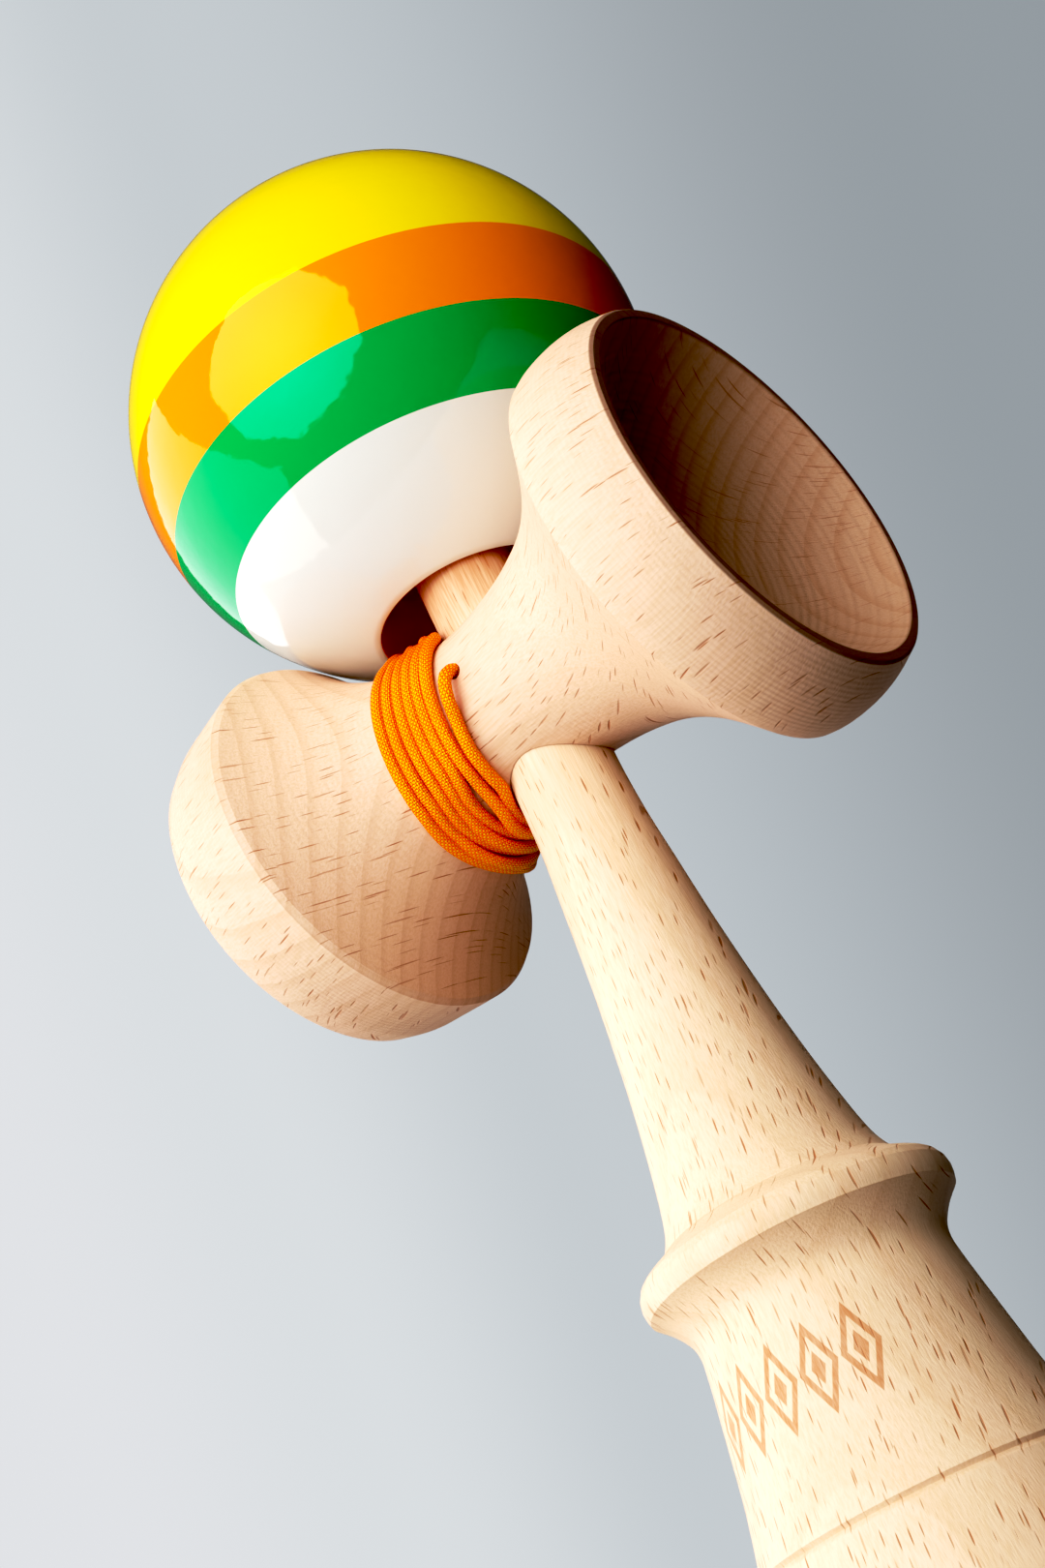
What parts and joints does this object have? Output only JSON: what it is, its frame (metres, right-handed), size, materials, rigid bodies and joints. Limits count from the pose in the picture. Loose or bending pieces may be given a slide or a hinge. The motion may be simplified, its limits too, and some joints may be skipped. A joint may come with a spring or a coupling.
{
  "type": "kendama",
  "caption": "Wooden kendama: turned handle with spike and base cup, sliding crosspiece with cups, holed striped ball resting on it, and orange string wound on the crosspiece.",
  "frame": {"origin": "centre of the base cup's rim, on the plane the kendama stands on", "axes": "+Z along the ken towards the spike, +X from the ken towards the big cup, +Y towards the side the string's lead runs on"},
  "size_m": [0.0713, 0.0614, 0.1818],
  "materials": {
    "beech": "bare, finely sanded beech",
    "lacquered_wood": "gloss lacquer in yellow, orange, green and off-white zones",
    "bead_plastic": "gloss",
    "braid": "round orange braid with yellow flecks"
  },
  "bodies": {
    "ken": {"ken": "beech"},
    "sarado": {"sarado": "beech", "string_winding": "braid", "string_tail": "braid", "sarado_knot": "braid"},
    "bead_carrier": {"bead": "bead_plastic", "tama_knot": "braid", "string_lead": "braid"},
    "tama": {"tama": "lacquered_wood"}
  },
  "joints": [
    {"name": "sarado_slide", "type": "slide", "parent": "ken", "child": "sarado", "axis": [0, 0, 1], "range_m": [0, 0.064]},
    {"name": "tama_lift", "type": "slide", "parent": "sarado", "child": "bead_carrier", "axis": [0, 0, 1], "range_m": [0, 0.048], "deforming": ["string_lead"]},
    {"name": "tama_spin", "type": "hinge", "parent": "bead_carrier", "child": "tama", "pos_m": [-0.0025, 0.0052, 0.1493], "axis": [0.0244, 0.0279, 0.9993], "continuous": true}
  ]
}
